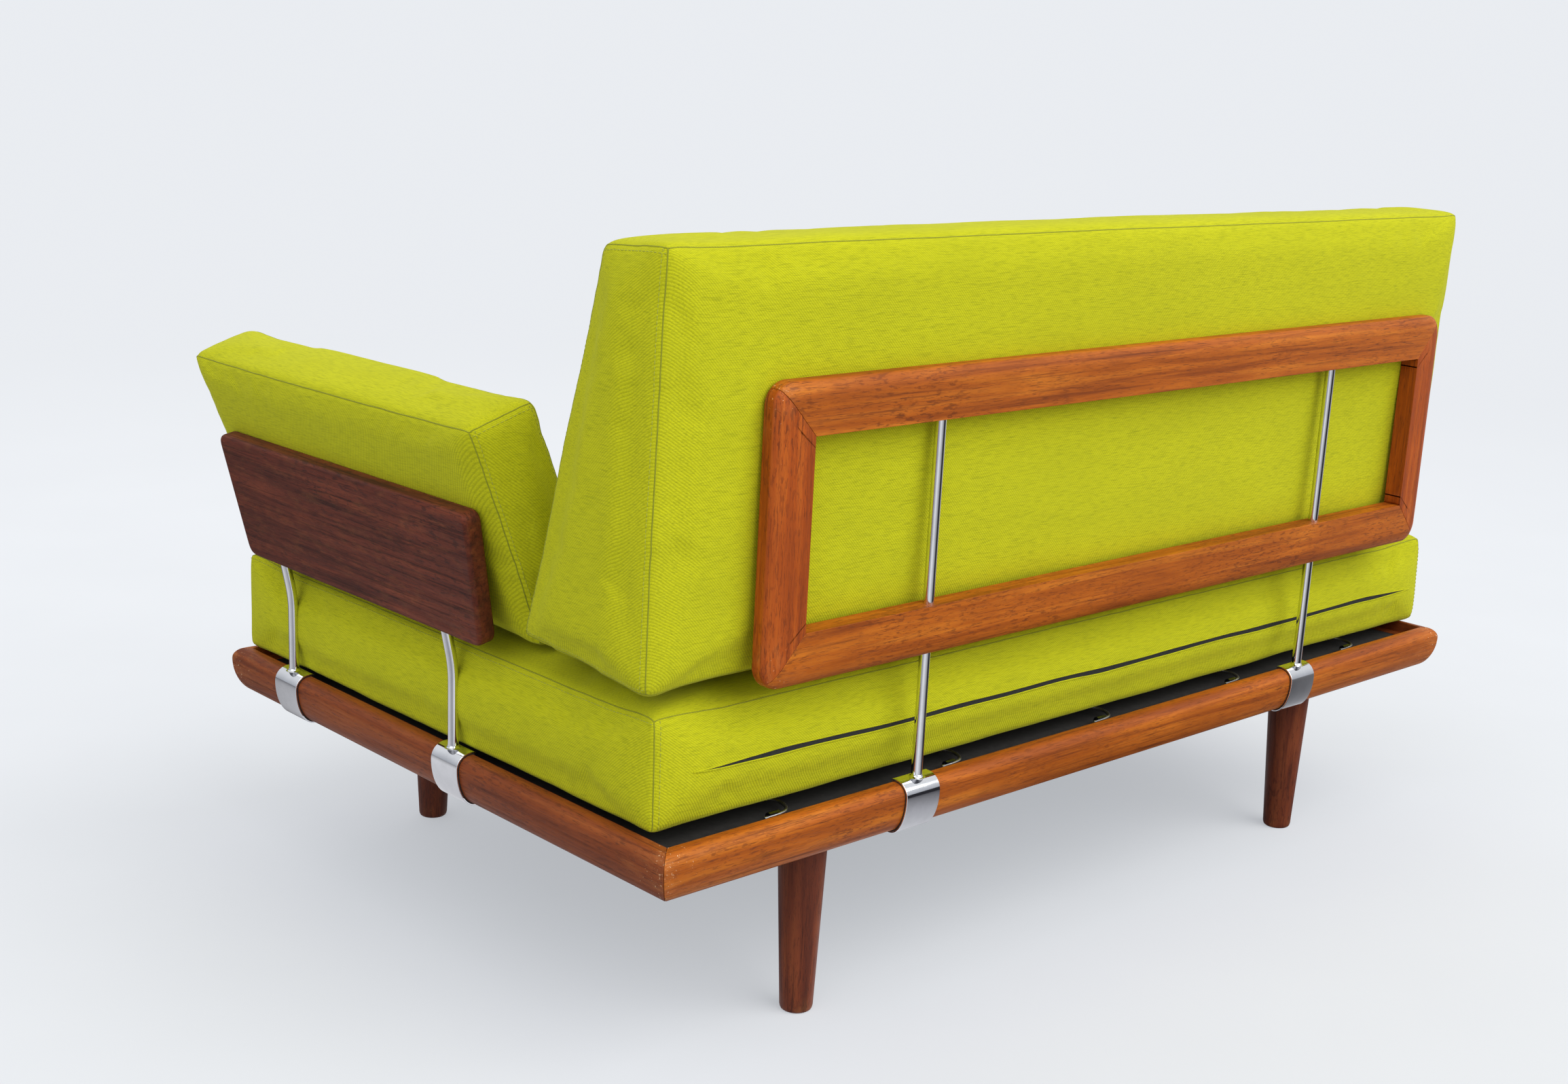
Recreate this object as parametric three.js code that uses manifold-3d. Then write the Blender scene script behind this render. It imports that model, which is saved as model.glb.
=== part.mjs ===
// A two-seat daybed: a low teak frame on four round legs, a boxed seat mattress on zigzag springs,
// a backrest frame and an arm board that stand on chrome clips hooked over the rails, and two loose
// cushions that lean on them.
//
// Millimetres. X runs along the length towards the arm end, Y towards the back, Z up from the floor.
// Every piece is drawn about the centre of the base; the last lines move the whole to its own box.

import * as THREE from 'three';
import { mergeVertices } from 'three/addons/utils/BufferGeometryUtils.js';
import Module from 'manifold-3d';

const wasm = await Module();
wasm.setup();

// ---------------------------------------------------------------- driving dimensions

const GAP = 0.3; // clearance between pieces that touch
const BASE = { length: 1280, depth: 788 };
const RAIL = {
  top: 236, // height of the lip that the clips hook over
  nose: 223, // height of the outermost line
  bottom: 185,
  lip: 17, // width of the lip at the top
  thick: 30, // width below the rebate
  ledge: 222, // height of the rebate's floor, where the spring clips sit
  topRound: 13.5, // how far in the upper curve reaches
  bottomRound: 20, // how far in the lower curve reaches
};
const LEG = { alongX: 412, alongY: 328.5, foot: 16.5, head: 25, top: 184.4, footEdge: 1.5 };
const STUD = { radius: 5, from: 140, to: 206, hole: 5.5 };
const PLATE = { side: 56, thick: 3 };
const BEARER = { width: 74, bottom: 188, thick: 26 };
const BLOCK = { side: 62, bottom: 190, top: 218 };
const PANEL = { bottom: BLOCK.top + GAP, thick: 3 }; // the dust panel that lies under the springs
const SPRING = {
  count: 5,
  pitchX: 240,
  wire: 1.9, // radius of the wire
  halfWidth: 27,
  runs: 18, // from the front rail to the back rail
  rise: 12, // how much the middle arches
  sides: 5,
  tail: 0.45, // how far the wire runs on past its clip, in radians of the zigzag
};
const CLIP = { width: 13, plate: 1.5, bend: 3.2, from: 21, reach: 35.5, curlEnd: 125 };
const CLAMP = { width: 46, liner: 0.7, band: 1.8, slack: 0.25, lipBottom: 226, under: 27 };
const COLLAR = { foot: 7.6, head: 5.9, height: 2.6 };
const ROD = { radius: 5.5, inset: 8.5, hole: 6, bend: 13, sides: 12 };
const BACKREST = {
  shiftX: -7,
  rodX: 324, // from the middle of the backrest to each rod
  length: 1081,
  height: 280,
  member: 50, // width of the top and bottom rails
  stile: 46.5,
  thick: 22,
  edge: 5,
  corner: 22,
  innerCorner: 2,
  clear: 126, // from the clips up to the frame
  tilt: 1, // degrees
  seat: 30, // how far the rods run into the top rail
};
const ARMREST = {
  shiftY: -107,
  rodY: 158, // from the middle between the rods to each rod
  boardY: -100,
  bottomHalf: 225.5,
  topHalf: 239.5,
  height: 139,
  thick: 20,
  edge: 4,
  corner: 14,
  lean: 12, // degrees
  bendZ: 322.5,
  clear: 41, // from the rods' bend up to the board
  seat: 50, // how far the rods run into the board
};
const MATTRESS = { x: [-640, 624.5], y: [-390, 358], bottom: 241.8 };
const MATTRESS_CROWN = [[0, 346], [30, 357], [100, 366], [190, 370]]; // [inset, height]
const BACK_CUSHION = {
  x: [-604, 648],
  section: [
    [366, 367], [330, 362], [290, 366], [235, 371], [169, 382], [282, 770], [335, 782], [386, 772],
  ],
};
const ARM_CUSHION = {
  y: [-393, 160],
  section: [[599, 359], [688, 579], [650, 600], [608, 607], [513, 372]],
};

const FINISHES = {
  teak: { color: 0xa8501f, roughness: 0.5, metalness: 0 },
  darkTeak: { color: 0x6e3525, roughness: 0.5, metalness: 0 },
  beech: { color: 0xc8a273, roughness: 0.7, metalness: 0 },
  chrome: { color: 0xdfe3e8, roughness: 0.12, metalness: 1 },
  steel: { color: 0x9a9ea2, roughness: 0.4, metalness: 1 },
  liner: { color: 0x1b1716, roughness: 0.9, metalness: 0 },
  blackBoard: { color: 0x1c1917, roughness: 0.9, metalness: 0 },
  fabric: { color: 0xb4b81f, roughness: 0.95, metalness: 0 },
};

const BESIDE = [-1, 1];
const radians = THREE.MathUtils.degToRad;

// ---------------------------------------------------------------- shape helpers

function addPart(parent, name, geometry, finish) {
  const mesh = new THREE.Mesh(geometry, new THREE.MeshStandardMaterial(FINISHES[finish]));
  mesh.name = name;
  parent.add(mesh);
  return mesh;
}

function addGroup(parent, place, turn) {
  const group = new THREE.Group();
  group.position.set(...place);
  group.rotation.set(...turn);
  parent.add(group);
  return group;
}

function toSolid(geometry) {
  const bare = geometry.clone();
  bare.deleteAttribute('normal');
  bare.deleteAttribute('uv');
  const merged = mergeVertices(bare);
  return new wasm.Manifold(new wasm.Mesh({
    numProp: 3,
    vertProperties: merged.attributes.position.array,
    triVerts: new Uint32Array(merged.index.array),
  }));
}

function toGeometry(solid) {
  const { vertProperties, triVerts } = solid.getMesh();
  const geometry = new THREE.BufferGeometry();
  geometry.setAttribute('position', new THREE.BufferAttribute(vertProperties, 3));
  geometry.setIndex(new THREE.BufferAttribute(triVerts, 1));
  geometry.computeVertexNormals();
  return geometry;
}

function shapeOf(points) {
  return new THREE.Shape(points.map(([u, v]) => new THREE.Vector2(u, v)));
}

// An outline of [y, z] points drawn out along X.
function prismAlongX(points, from, to) {
  const geometry = new THREE.ExtrudeGeometry(shapeOf(points), { depth: to - from, bevelEnabled: false });
  const turn = new THREE.Matrix4().makeBasis(
    new THREE.Vector3(0, 1, 0), new THREE.Vector3(0, 0, 1), new THREE.Vector3(1, 0, 0));
  return geometry.applyMatrix4(turn).translate(from, 0, 0);
}

// A shape of [x, y] points drawn up along Z.
function prismAlongZ(shape, from, to, curveSegments = 4) {
  const options = { depth: to - from, bevelEnabled: false, curveSegments };
  return new THREE.ExtrudeGeometry(shape, options).translate(0, 0, from);
}

// A shape of [x, z] points drawn along Y, centred on Y = 0, with its edges rounded off by `edge`.
function slab(shape, thick, edge) {
  const geometry = new THREE.ExtrudeGeometry(shape, {
    depth: thick - 2 * edge,
    bevelEnabled: edge > 0,
    bevelThickness: edge,
    bevelSize: edge,
    bevelOffset: -edge,
    bevelSegments: 3,
    curveSegments: 5,
  });
  const turn = new THREE.Matrix4().makeBasis(
    new THREE.Vector3(1, 0, 0), new THREE.Vector3(0, 0, 1), new THREE.Vector3(0, -1, 0));
  return geometry.applyMatrix4(turn).translate(0, thick / 2 - edge, 0);
}

// A closed outline whose corners are rounded.
function roundedShape(corners, radius, Kind = THREE.Shape) {
  const shape = new Kind();
  corners.forEach(([x, y], index) => {
    const corner = new THREE.Vector2(x, y);
    const before = new THREE.Vector2(...corners.at(index - 1));
    const after = new THREE.Vector2(...corners[(index + 1) % corners.length]);
    const start = corner.clone().add(before.sub(corner).setLength(radius));
    const end = corner.clone().add(after.sub(corner).setLength(radius));
    if (index === 0) shape.moveTo(start.x, start.y);
    else shape.lineTo(start.x, start.y);
    shape.quadraticCurveTo(corner.x, corner.y, end.x, end.y);
  });
  shape.closePath();
  return shape;
}

function uprightCylinder(lowRadius, highRadius, from, to, sides) {
  const geometry = new THREE.CylinderGeometry(highRadius, lowRadius, to - from, sides);
  return geometry.rotateX(Math.PI / 2).translate(0, 0, (from + to) / 2);
}

// A round bar that follows a curve.
function barAlong(curve, radius, sides, steps) {
  const circle = Array.from({ length: sides }, (_, index) => {
    const angle = (2 * Math.PI * index) / sides;
    return [radius * Math.cos(angle), radius * Math.sin(angle)];
  });
  return new THREE.ExtrudeGeometry(shapeOf(circle), { extrudePath: curve, steps });
}

// ---------------------------------------------------------------- the rail's section

// The rail's outer surface as [distance in from the nose, height] points, moved out by `offset`:
// over the lip, round the nose and in under the rail.
function railSurface(offset, topSteps = 5, bottomSteps = 8) {
  const arcs = [
    { reach: RAIL.topRound, drop: RAIL.top - RAIL.nose, from: 90, to: 180, steps: topSteps },
    { reach: RAIL.bottomRound, drop: RAIL.nose - RAIL.bottom, from: 180, to: 270, steps: bottomSteps },
  ];
  return arcs.flatMap(({ reach, drop, from, to, steps }, which) => {
    const first = which === 0 ? 0 : 1;
    return Array.from({ length: steps + 1 - first }, (_, index) => {
      const angle = radians(from + ((to - from) * (index + first)) / steps);
      const normal = new THREE.Vector2(Math.cos(angle) / reach, Math.sin(angle) / drop).normalize();
      return [
        reach + reach * Math.cos(angle) + offset * normal.x,
        RAIL.nose + drop * Math.sin(angle) + offset * normal.y,
      ];
    });
  });
}

// The same surface with the hook inside the lip before it and the stretch under the rail after it.
function bandSurface(offset) {
  const corner = [0, 45, 90].map((angle) => [
    RAIL.lip + offset * Math.cos(radians(angle)),
    RAIL.top + offset * Math.sin(radians(angle)),
  ]);
  const end = [CLAMP.under, RAIL.bottom - offset];
  return [[RAIL.lip + offset, CLAMP.lipBottom], ...corner, ...railSurface(offset), end];
}

// Turns [distance in, height] into [y, z] with the nose at y = 0.
const outward = (points) => points.map(([inset, height]) => [-inset, height]);

// ---------------------------------------------------------------- base

function railGeometry(length) {
  const outline = [
    [RAIL.lip, RAIL.top], ...railSurface(0), [RAIL.thick, RAIL.bottom],
    [RAIL.thick, RAIL.ledge], [RAIL.lip, RAIL.ledge],
  ];
  const bar = prismAlongX(outward(outline), -length / 2, length / 2);
  const end = length / 2 - GAP / Math.SQRT2;
  const spare = 5;
  const reach = RAIL.thick + spare;
  const plan = shapeOf([
    [-end - spare, spare], [end + spare, spare], [end - reach, -reach], [-end + reach, -reach],
  ]);
  const mitre = prismAlongZ(plan, RAIL.bottom - spare, RAIL.top + spare);
  return toGeometry(toSolid(bar).intersect(toSolid(mitre)));
}

function addRails(parent) {
  const sides = [
    ['rail_back', BASE.length, [0, BASE.depth / 2, 0], 0],
    ['rail_front', BASE.length, [0, -BASE.depth / 2, 0], 180],
    ['rail_arm_end', BASE.depth, [BASE.length / 2, 0, 0], -90],
    ['rail_open_end', BASE.depth, [-BASE.length / 2, 0, 0], 90],
  ];
  for (const [name, length, place, turn] of sides) {
    const rail = addPart(parent, name, railGeometry(length), 'teak');
    rail.position.set(...place);
    rail.rotation.z = radians(turn);
  }
}

function addCornerBlocks(parent) {
  const inset = RAIL.thick + GAP;
  for (const sideX of BESIDE) {
    for (const sideY of BESIDE) {
      const x = sideX * (BASE.length / 2 - inset);
      const y = sideY * (BASE.depth / 2 - inset);
      const plan = shapeOf([[x, y], [x - sideX * BLOCK.side, y], [x, y - sideY * BLOCK.side]]);
      const name = `corner_block_${sideY > 0 ? 'back' : 'front'}_${sideX > 0 ? 'arm' : 'open'}`;
      addPart(parent, name, prismAlongZ(plan, BLOCK.bottom, BLOCK.top), 'beech');
    }
  }
}

function roundHole(radius, x, y) {
  const hole = new THREE.Path();
  hole.absarc(x, y, radius, 0, 2 * Math.PI, true);
  return hole;
}

function rectangle(halfX, halfY) {
  return shapeOf([[-halfX, -halfY], [halfX, -halfY], [halfX, halfY], [-halfX, halfY]]);
}

function addBearers(parent) {
  const halfDepth = BASE.depth / 2 - RAIL.thick - GAP;
  for (const side of BESIDE) {
    const plan = rectangle(BEARER.width / 2, halfDepth);
    for (const end of BESIDE) plan.holes.push(roundHole(STUD.hole, 0, end * LEG.alongY));
    const geometry = prismAlongZ(plan, BEARER.bottom, BEARER.bottom + BEARER.thick, 8);
    const bearer = addPart(parent, side > 0 ? 'bearer_arm_end' : 'bearer_open_end', geometry, 'beech');
    bearer.position.x = side * LEG.alongX;
  }
}

// The panel lies on the corner blocks and keeps dust out of the mattress.
function addDustPanel(parent) {
  const inset = RAIL.thick + GAP;
  const plan = rectangle(BASE.length / 2 - inset, BASE.depth / 2 - inset);
  const geometry = prismAlongZ(plan, PANEL.bottom, PANEL.bottom + PANEL.thick);
  addPart(parent, 'dust_panel', geometry, 'blackBoard');
}

function legGeometry() {
  const profile = [
    [0, 0], [LEG.foot - LEG.footEdge, 0], [LEG.foot, LEG.footEdge], [LEG.head, LEG.top],
    [STUD.hole, LEG.top], [STUD.hole, STUD.from - GAP], [0, STUD.from - GAP],
  ];
  const points = profile.map(([radius, height]) => new THREE.Vector2(radius, height));
  return new THREE.LatheGeometry(points, 24).rotateX(Math.PI / 2);
}

function addLegs(parent) {
  const outline = rectangle(PLATE.side / 2, PLATE.side / 2);
  outline.holes.push(roundHole(STUD.hole, 0, 0));
  const plateBottom = LEG.top + GAP;
  const plate = prismAlongZ(outline, plateBottom, plateBottom + PLATE.thick, 8);
  for (const sideX of BESIDE) {
    for (const sideY of BESIDE) {
      const spot = addGroup(parent, [sideX * LEG.alongX, sideY * LEG.alongY, 0], [0, 0, 0]);
      const where = `${sideY > 0 ? 'back' : 'front'}_${sideX > 0 ? 'arm' : 'open'}`;
      const stud = uprightCylinder(STUD.radius, STUD.radius, STUD.from, STUD.to, 12);
      addPart(spot, `leg_${where}`, legGeometry(), 'darkTeak');
      addPart(spot, `leg_stud_${where}`, stud, 'steel');
      addPart(spot, `leg_plate_${where}`, plate.clone(), 'steel');
    }
  }
}

// ---------------------------------------------------------------- seat springs

const CURL_HEIGHT = RAIL.ledge + GAP + CLIP.plate + CLIP.bend; // centre of the wire in its clip

function clipGeometry() {
  const curl = (radius) => Array.from({ length: 7 }, (_, index) => {
    const angle = radians(-90 + ((CLIP.curlEnd + 90) * index) / 6);
    return [CLIP.reach + radius * Math.cos(angle), CURL_HEIGHT + radius * Math.sin(angle)];
  });
  const outer = CLIP.bend + CLIP.plate;
  const outline = [
    [CLIP.from, CURL_HEIGHT - outer], ...curl(outer), ...curl(CLIP.bend).reverse(),
    [CLIP.from, CURL_HEIGHT - CLIP.bend],
  ];
  return prismAlongX(outward(outline), -CLIP.width / 2, CLIP.width / 2);
}

// A zigzag wire: level runs across the seat, joined by round turns, arched a little in the middle.
class ZigzagCurve extends THREE.Curve {
  getPoint(t) {
    const half = BASE.depth / 2 - CLIP.reach;
    const pitch = (2 * half) / SPRING.runs;
    const phase = THREE.MathUtils.lerp(-SPRING.tail, SPRING.runs * Math.PI + SPRING.tail, t);
    const x = SPRING.halfWidth * Math.sin(phase);
    const y = -half + (pitch * (phase - Math.sin(2 * phase) / 2)) / Math.PI;
    const height = CURL_HEIGHT + SPRING.rise * (1 - (y / half) ** 2);
    return new THREE.Vector3(x, y, height);
  }

  // Steps are even in phase, so that every turn gets the same number of them.
  getUtoTmapping(u) {
    return u;
  }
}

function springGeometry() {
  return barAlong(new ZigzagCurve(), SPRING.wire, SPRING.sides, SPRING.runs * 5);
}

function addSprings(parent) {
  for (let index = 0; index < SPRING.count; index += 1) {
    const number = index + 1;
    const x = (index - (SPRING.count - 1) / 2) * SPRING.pitchX;
    const spring = addPart(parent, `seat_spring_${number}`, springGeometry(), 'steel');
    spring.position.x = x;
    for (const side of BESIDE) {
      const name = `spring_clip_${side > 0 ? 'back' : 'front'}_${number}`;
      const clip = addPart(parent, name, clipGeometry(), 'steel');
      clip.position.set(x, (side * BASE.depth) / 2, 0);
      clip.rotation.z = side > 0 ? 0 : Math.PI;
    }
  }
}

// ---------------------------------------------------------------- clips that hug a rail

const LINER_OUT = CLAMP.slack + CLAMP.liner;
const BAND_IN = LINER_OUT + CLAMP.slack;
const BAND_OUT = BAND_IN + CLAMP.band;
const CLAMP_TOP = RAIL.top + BAND_OUT;
const ROD_FOOT = CLAMP_TOP + COLLAR.height + GAP;

function stripGeometry(inner, outer) {
  const outline = outward([...bandSurface(outer), ...bandSurface(inner).reverse()]);
  return prismAlongX(outline, -CLAMP.width / 2, CLAMP.width / 2);
}

function clampGeometry() {
  const sunk = 1;
  const collarTop = CLAMP_TOP + COLLAR.height;
  const collar = uprightCylinder(COLLAR.foot, COLLAR.head, CLAMP_TOP - sunk, collarTop, 16);
  collar.translate(0, -ROD.inset, 0);
  return toGeometry(toSolid(stripGeometry(BAND_IN, BAND_OUT)).add(toSolid(collar)));
}

function addClamp(parent, name, x, y) {
  const clamp = addPart(parent, name, clampGeometry(), 'chrome');
  const liner = addPart(parent, `${name}_liner`, stripGeometry(CLAMP.slack, LINER_OUT), 'liner');
  for (const piece of [clamp, liner]) piece.position.set(x, y, 0);
}

function rodHole(x, from, to) {
  return toSolid(uprightCylinder(ROD.hole, ROD.hole, from, to, 16).translate(x, 0, 0));
}

// ---------------------------------------------------------------- backrest

// The backrest stands on its two rods. Its own group has the rods' line as Z and the rear as +Y.
function addBackrest(parent) {
  const noseY = BASE.depth / 2;
  const assembly = addGroup(parent, [BACKREST.shiftX, 0, 0], [0, 0, 0]);
  const frame = addGroup(assembly, [0, noseY - ROD.inset, CLAMP_TOP], [-radians(BACKREST.tilt), 0, 0]);
  const rodFoot = ROD_FOOT - CLAMP_TOP;
  const rodTop = BACKREST.clear + BACKREST.height - BACKREST.member + BACKREST.seat;
  let whole = backFrameSolid();
  for (const side of BESIDE) {
    whole = whole.subtract(rodHole(side * BACKREST.rodX, rodFoot, rodTop + GAP));
  }
  for (const [name, region] of Object.entries(backFrameRegions())) {
    const member = whole.intersect(toSolid(slab(shapeOf(region), 3 * BACKREST.thick, 0)));
    addPart(frame, name, toGeometry(member), 'teak');
  }
  for (const side of BESIDE) {
    const where = side > 0 ? 'arm_side' : 'open_side';
    const shaft = uprightCylinder(ROD.radius, ROD.radius, rodFoot, rodTop, ROD.sides);
    const rod = addPart(frame, `back_rod_${where}`, shaft, 'chrome');
    rod.position.x = side * BACKREST.rodX;
    addClamp(assembly, `back_clamp_${where}`, side * BACKREST.rodX, noseY);
  }
}

function backFrameSolid() {
  const low = BACKREST.clear;
  const high = low + BACKREST.height;
  const half = BACKREST.length / 2;
  const box = (inX, inZ) => [
    [-half + inX, low + inZ], [half - inX, low + inZ], [half - inX, high - inZ], [-half + inX, high - inZ],
  ];
  const shape = roundedShape(box(0, 0), BACKREST.corner);
  const opening = box(BACKREST.stile, BACKREST.member);
  shape.holes.push(roundedShape(opening, BACKREST.innerCorner, THREE.Path));
  return toSolid(slab(shape, BACKREST.thick, BACKREST.edge));
}

// The four regions that the mitres cut the frame into.
function backFrameRegions() {
  const half = BACKREST.length / 2;
  const low = BACKREST.clear;
  const high = low + BACKREST.height;
  const mitrePoint = (sideX, sideZ, along, shift) => [
    sideX * (half - BACKREST.stile * (1 - along)),
    (sideZ > 0 ? high : low) - sideZ * (BACKREST.member * (1 - along) + shift),
  ];
  const inside = -0.3;
  const outside = 1.4;
  const acrossMember = (sideZ) => [
    mitrePoint(-1, sideZ, inside, 0), mitrePoint(-1, sideZ, outside, 0),
    mitrePoint(1, sideZ, outside, 0), mitrePoint(1, sideZ, inside, 0),
  ];
  const saw = GAP * Math.SQRT2;
  const uprightMember = (sideX) => [
    mitrePoint(sideX, 1, inside, saw), mitrePoint(sideX, 1, outside, saw),
    mitrePoint(sideX, -1, outside, saw), mitrePoint(sideX, -1, inside, saw),
  ];
  return {
    back_top_rail: acrossMember(1),
    back_bottom_rail: acrossMember(-1),
    back_stile_arm_side: uprightMember(1),
    back_stile_open_side: uprightMember(-1),
  };
}

// ---------------------------------------------------------------- armrest

// Built in a group turned so that its Y is the length's X: local +X runs to the front.
function addArmrest(parent) {
  const noseX = BASE.length / 2;
  const rodLine = noseX - ROD.inset;
  const lean = radians(ARMREST.lean);
  const assembly = addGroup(parent, [0, ARMREST.shiftY, 0], [0, 0, -Math.PI / 2]);
  const tilted = addGroup(assembly, [0, rodLine, ARMREST.bendZ], [-lean, 0, 0]);
  const low = ARMREST.clear;
  const high = low + ARMREST.height;
  const shift = ARMREST.shiftY - ARMREST.boardY;
  const outline = [
    [shift - ARMREST.bottomHalf, low], [shift + ARMREST.bottomHalf, low],
    [shift + ARMREST.topHalf, high], [shift - ARMREST.topHalf, high],
  ];
  let board = toSolid(slab(roundedShape(outline, ARMREST.corner), ARMREST.thick, ARMREST.edge));
  for (const side of BESIDE) {
    board = board.subtract(rodHole(side * ARMREST.rodY, 0, low + ARMREST.seat + GAP));
  }
  addPart(tilted, 'arm_board', toGeometry(board), 'darkTeak');
  for (const side of BESIDE) {
    const where = side > 0 ? 'front' : 'rear';
    const rod = addPart(assembly, `arm_rod_${where}`, armRodGeometry(rodLine, lean), 'chrome');
    rod.position.x = side * ARMREST.rodY;
    addClamp(assembly, `arm_clamp_${where}`, side * ARMREST.rodY, noseX);
  }
}

// Straight up from the clip, then leaning out into the board.
function armRodGeometry(rodLine, lean) {
  const onLean = (distance) => new THREE.Vector3(
    0, rodLine + distance * Math.sin(lean), ARMREST.bendZ + distance * Math.cos(lean));
  const foot = new THREE.Vector3(0, rodLine, ROD_FOOT);
  const bendStart = new THREE.Vector3(0, rodLine, ARMREST.bendZ - ROD.bend);
  const bendEnd = onLean(ROD.bend);
  const path = new THREE.CurvePath();
  path.add(new THREE.LineCurve3(foot, bendStart));
  path.add(new THREE.QuadraticBezierCurve3(bendStart, onLean(0), bendEnd));
  path.add(new THREE.LineCurve3(bendEnd, onLean(ARMREST.clear + ARMREST.seat)));
  return barAlong(path, ROD.radius, ROD.sides, 24);
}

// ---------------------------------------------------------------- soft pieces

// A closed body through rectangular rings, given from the bottom up.
function ringLoft(rings) {
  const positions = rings.flatMap(({ x, y, z }) => [
    [x[0], y[0], z], [x[1], y[0], z], [x[1], y[1], z], [x[0], y[1], z],
  ]).flat();
  const faces = [[0, 2, 1], [0, 3, 2]];
  for (let ring = 0; ring < rings.length - 1; ring += 1) {
    for (let side = 0; side < 4; side += 1) {
      const a = 4 * ring + side;
      const b = 4 * ring + ((side + 1) % 4);
      faces.push([a, b, b + 4], [a, b + 4, a + 4]);
    }
  }
  const top = 4 * (rings.length - 1);
  faces.push([top, top + 1, top + 2], [top, top + 2, top + 3]);
  const geometry = new THREE.BufferGeometry();
  geometry.setAttribute('position', new THREE.Float32BufferAttribute(positions, 3));
  geometry.setIndex(faces.flat());
  geometry.computeVertexNormals();
  return geometry;
}

function mattressGeometry() {
  const ringAt = (inset, z) => ({
    x: [MATTRESS.x[0] + inset, MATTRESS.x[1] - inset],
    y: [MATTRESS.y[0] + inset, MATTRESS.y[1] - inset],
    z,
  });
  return ringLoft([ringAt(0, MATTRESS.bottom), ...MATTRESS_CROWN.map(([inset, z]) => ringAt(inset, z))]);
}

function addCushions(parent) {
  addPart(parent, 'seat_mattress', mattressGeometry(), 'fabric');
  addPart(parent, 'back_cushion', prismAlongX(BACK_CUSHION.section, ...BACK_CUSHION.x), 'fabric');
  const turned = addGroup(parent, [0, 0, 0], [0, 0, -Math.PI / 2]);
  const [rear, front] = [-ARM_CUSHION.y[1], -ARM_CUSHION.y[0]];
  addPart(turned, 'arm_cushion', prismAlongX(ARM_CUSHION.section, rear, front), 'fabric');
}

// ---------------------------------------------------------------- the daybed

const daybed = new THREE.Group();
addRails(daybed);
addCornerBlocks(daybed);
addBearers(daybed);
addDustPanel(daybed);
addLegs(daybed);
addSprings(daybed);
addBackrest(daybed);
addArmrest(daybed);
addCushions(daybed);

// The origin is the centre of the whole box on the floor.
daybed.updateMatrixWorld(true);
const centre = new THREE.Box3().setFromObject(daybed, true).getCenter(new THREE.Vector3());
daybed.position.set(-centre.x, -centre.y, 0);

export default daybed;
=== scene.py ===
"""The looks of a low daybed: oiled teak, chrome clips and rods, and lime-green wool cushions.

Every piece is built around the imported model. Shapes are written in millimetres about the centre of
the base, with X towards the arm end, Y towards the back and Z up, and PLACE turns them into metres
in the model's frame.
"""

import math

import bmesh
import bpy
import numpy as np
from mathutils import Matrix, Vector, noise
from mathutils.bvhtree import BVHTree
from mathutils.kdtree import KDTree


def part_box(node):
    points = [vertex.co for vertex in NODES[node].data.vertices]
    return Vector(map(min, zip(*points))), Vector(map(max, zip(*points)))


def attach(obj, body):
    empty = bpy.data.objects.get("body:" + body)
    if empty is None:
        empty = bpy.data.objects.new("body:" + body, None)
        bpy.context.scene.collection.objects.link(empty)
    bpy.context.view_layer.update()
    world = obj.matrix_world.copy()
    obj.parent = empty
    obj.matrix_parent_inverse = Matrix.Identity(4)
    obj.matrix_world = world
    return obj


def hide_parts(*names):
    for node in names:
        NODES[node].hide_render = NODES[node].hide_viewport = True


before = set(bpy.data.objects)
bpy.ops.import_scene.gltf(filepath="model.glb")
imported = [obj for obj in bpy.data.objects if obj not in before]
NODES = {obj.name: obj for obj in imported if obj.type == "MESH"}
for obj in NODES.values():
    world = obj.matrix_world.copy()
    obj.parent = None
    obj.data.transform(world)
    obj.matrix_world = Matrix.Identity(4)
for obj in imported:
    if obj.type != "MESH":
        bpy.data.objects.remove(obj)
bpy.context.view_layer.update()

MM = 0.001

# ---------------------------------------------------------------- where the base is

OPEN_END, ARM_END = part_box("rail_open_end")[0].x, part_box("rail_arm_end")[1].x
FRONT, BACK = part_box("rail_front")[0].y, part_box("rail_back")[1].y
LENGTH = (ARM_END - OPEN_END) / MM
DEPTH = (BACK - FRONT) / MM
ORIGIN = Vector(((OPEN_END + ARM_END) / 2, (FRONT + BACK) / 2, 0))
PLACE = Matrix.Translation(ORIGIN) @ Matrix.Scale(MM, 4)


def node_middle(node):
    """The middle of a CAD node's box, in millimetres about the centre of the base."""
    low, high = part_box(node)
    return ((low + high) / 2 - ORIGIN) / MM


# ---------------------------------------------------------------- dimensions, in millimetres

GAP = 0.3
RAIL = dict(top=236, nose=223, bottom=185, lip=17, thick=30, ledge=222, top_round=13.5, bottom_round=20)
LEG = dict(foot=16.5, head=25, top=184.4)
CLAMP = dict(width=46, band=1.8, inside=1.2, lip_bottom=226, under=27)
COLLAR = dict(foot=9, head=5.9, height=2.6)
ROD = dict(radius=5.5, inset=8.5)
BACKREST = dict(length=1081, height=280, member=50, stile=46.5, thick=22, corner=22, clear=126, tilt=1,
                seat=30)
ARMREST = dict(board_y=-100, bottom_half=225.5, top_half=239.5, height=139, thick=20, edge=4, corner=14,
               lean=12, bend_z=322.5, clear=41, seat=50, bend=16)
SPRING = dict(half_width=27, runs=18, rise=12, wire=1.9, tail=0.45, end_z=227, reach=35.5)
CLAMP_TOP = RAIL["top"] + CLAMP["inside"] + CLAMP["band"]
ROD_FOOT = CLAMP_TOP + COLLAR["height"] - 1

BESIDE = (-1, 1)


# ---------------------------------------------------------------- mesh helpers

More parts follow.
